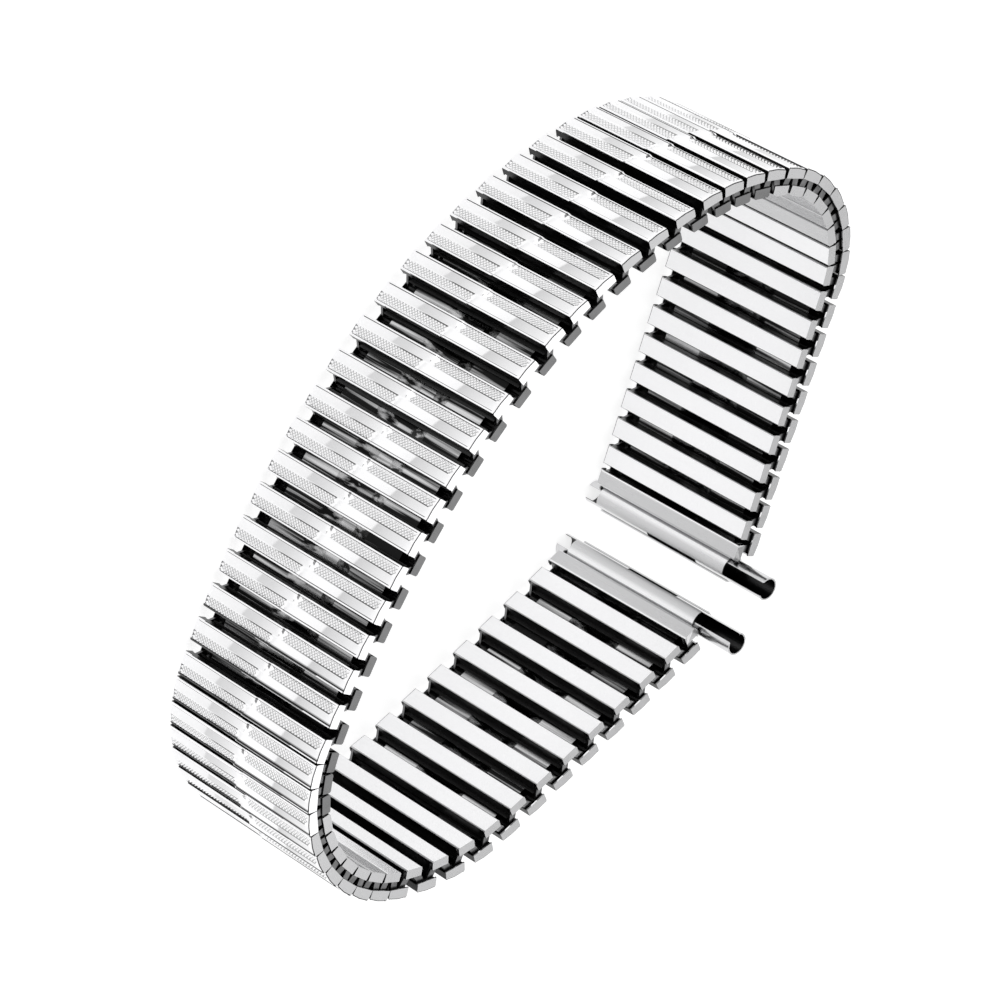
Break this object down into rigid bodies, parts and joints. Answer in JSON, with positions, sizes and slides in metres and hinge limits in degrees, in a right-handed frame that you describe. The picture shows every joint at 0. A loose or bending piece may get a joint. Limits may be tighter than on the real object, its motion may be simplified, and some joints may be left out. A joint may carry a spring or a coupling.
{
  "type": "expansion watch band",
  "caption": "Stretchy steel watch band of decorated outer links and plain inner links on staples and leaf springs, with telescoping spring-bar ends.",
  "frame": {"origin": "under the middle of the whole band, at the level of the lowest insert tips", "axes": "+Z across the band toward its near edge, +X and +Y in the plane of the loop"},
  "size_m": [0.0726, 0.0426, 0.0221],
  "materials": {
    "polished_steel": "polished, half of each face knurled",
    "brushed_steel": "fine brushed",
    "satin_steel": "satin",
    "plain_steel": "bare",
    "spring_steel": "bare spring strip"
  },
  "bodies": {
    "segment_01": {"outer_caps_01": "polished_steel", "outer_sleeves_01": "plain_steel", "inner_links_01": "brushed_steel", "leaf_springs_01": "spring_steel", "staples_01": "plain_steel"},
    "segment_02": {"outer_caps_02": "polished_steel", "outer_sleeves_02": "plain_steel", "inner_links_02": "brushed_steel", "leaf_springs_02": "spring_steel", "staples_02": "plain_steel"},
    "segment_03": {"outer_caps_03": "polished_steel", "outer_sleeves_03": "plain_steel", "inner_links_03": "brushed_steel", "leaf_springs_03": "spring_steel", "staples_03": "plain_steel"},
    "segment_04": {"outer_caps_04": "polished_steel", "outer_sleeves_04": "plain_steel", "inner_links_04": "brushed_steel", "leaf_springs_04": "spring_steel", "staples_04": "plain_steel"},
    "segment_05": {"outer_caps_05": "polished_steel", "outer_sleeves_05": "plain_steel", "inner_links_05": "brushed_steel", "leaf_springs_05": "spring_steel", "staples_05": "plain_steel"},
    "segment_06": {"outer_caps_06": "polished_steel", "outer_sleeves_06": "plain_steel", "inner_links_06": "brushed_steel", "leaf_springs_06": "spring_steel", "staples_06": "plain_steel"},
    "segment_07": {"outer_caps_07": "polished_steel", "outer_sleeves_07": "plain_steel", "inner_links_07": "brushed_steel", "leaf_springs_07": "spring_steel", "staples_07": "plain_steel"},
    "segment_08": {"outer_caps_08": "polished_steel", "outer_sleeves_08": "plain_steel", "inner_links_08": "brushed_steel", "leaf_springs_08": "spring_steel", "staples_08": "plain_steel"},
    "segment_09": {"outer_caps_09": "polished_steel", "outer_sleeves_09": "plain_steel", "inner_links_09": "brushed_steel", "leaf_springs_09": "spring_steel", "staples_09": "plain_steel"},
    "segment_10": {"outer_caps_10": "polished_steel", "outer_sleeves_10": "plain_steel", "inner_links_10": "brushed_steel", "leaf_springs_10": "spring_steel", "staples_10": "plain_steel"},
    "end_six": {"end_link_six": "satin_steel"},
    "near_insert_six": {"near_insert_six": "plain_steel"},
    "far_insert_six": {"far_insert_six": "plain_steel"},
    "stretch_link_six": {"stretch_staples_six": "plain_steel"},
    "end_twelve": {"end_link_twelve": "satin_steel"},
    "near_insert_twelve": {"near_insert_twelve": "plain_steel"},
    "far_insert_twelve": {"far_insert_twelve": "plain_steel"},
    "stretch_link_twelve": {"stretch_staples_twelve": "plain_steel"}
  },
  "joints": [
    {"name": "flex_02", "type": "hinge", "parent": "segment_03", "child": "segment_02", "pos_m": [0.03351, -0.00199, 0.00966], "axis": [0, 0, -1], "range_deg": [0, 1.2]},
    {"name": "flex_03", "type": "hinge", "parent": "segment_04", "child": "segment_03", "pos_m": [0.0312, -0.01305, 0.00966], "axis": [0, 0, -1], "range_deg": [0, 1.2]},
    {"name": "flex_04", "type": "hinge", "parent": "segment_05", "child": "segment_04", "pos_m": [0.01788, -0.0182, 0.00966], "axis": [0, 0, -1], "range_deg": [0, 18]},
    {"name": "flex_05", "type": "hinge", "parent": "segment_05", "child": "segment_06", "pos_m": [-0.00066, -0.01901, 0.00966], "axis": [0, 0, 1], "range_deg": [0, 20]},
    {"name": "flex_06", "type": "hinge", "parent": "segment_06", "child": "segment_07", "pos_m": [-0.01951, -0.01375, 0.00966], "axis": [0, 0, 1], "range_deg": [0, 18]},
    {"name": "flex_07", "type": "hinge", "parent": "segment_07", "child": "segment_08", "pos_m": [-0.03214, -0.00335, 0.00966], "axis": [0, 0, 1], "range_deg": [0, 9]},
    {"name": "flex_08", "type": "hinge", "parent": "segment_08", "child": "segment_09", "pos_m": [-0.03207, 0.00787, 0.00966], "axis": [0, 0, 1], "range_deg": [0, 1.8]},
    {"name": "stretch_six", "type": "slide", "parent": "segment_02", "child": "segment_01", "axis": [-0.8882, 0.4594, 0], "range_m": [-0.00015, 0.0002], "stiffness_N_per_m": 60},
    {"name": "staple_tilt_six", "type": "hinge", "parent": "segment_02", "child": "stretch_link_six", "pos_m": [0.01981, 0.01066, 0.00966], "axis": [0, 0, 1], "range_deg": [-7.89, 9.86]},
    {"name": "stretch_twelve", "type": "slide", "parent": "segment_09", "child": "segment_10", "axis": [0.9449, 0.3272, 0], "range_m": [-0.0002, 0.00045], "stiffness_N_per_m": 60},
    {"name": "staple_tilt_twelve", "type": "hinge", "parent": "segment_09", "child": "stretch_link_twelve", "pos_m": [-0.02077, 0.01478, 0.00966], "axis": [0, 0, 1], "range_deg": [-9.35, 18.54]},
    {"name": "end_hinge_six", "type": "hinge", "parent": "segment_01", "child": "end_six", "pos_m": [0.00369, 0.01834, 0.00966], "axis": [0, 0, -1], "range_deg": [-3, 10]},
    {"name": "end_hinge_twelve", "type": "hinge", "parent": "segment_10", "child": "end_twelve", "pos_m": [-0.00506, 0.01844, 0.00966], "axis": [0, 0, 1], "range_deg": [-3, 10]},
    {"name": "near_insert_slide_six", "type": "slide", "parent": "end_six", "child": "near_insert_six", "axis": [0, 0, 1], "range_m": [-0.0044, 0]},
    {"name": "far_insert_slide_six", "type": "slide", "parent": "end_six", "child": "far_insert_six", "axis": [0, 0, -1], "range_m": [-0.00166, 0.0027]},
    {"name": "near_insert_slide_twelve", "type": "slide", "parent": "end_twelve", "child": "near_insert_twelve", "axis": [0, 0, 1], "range_m": [-0.0044, 0]},
    {"name": "far_insert_slide_twelve", "type": "slide", "parent": "end_twelve", "child": "far_insert_twelve", "axis": [0, 0, -1], "range_m": [-0.00166, 0.0027]}
  ],
  "couplings": [
    {"joint": "staple_tilt_six", "follows": "stretch_six", "rad_per_m": 685.66},
    {"joint": "staple_tilt_twelve", "follows": "stretch_twelve", "rad_per_m": 641.43}
  ]
}
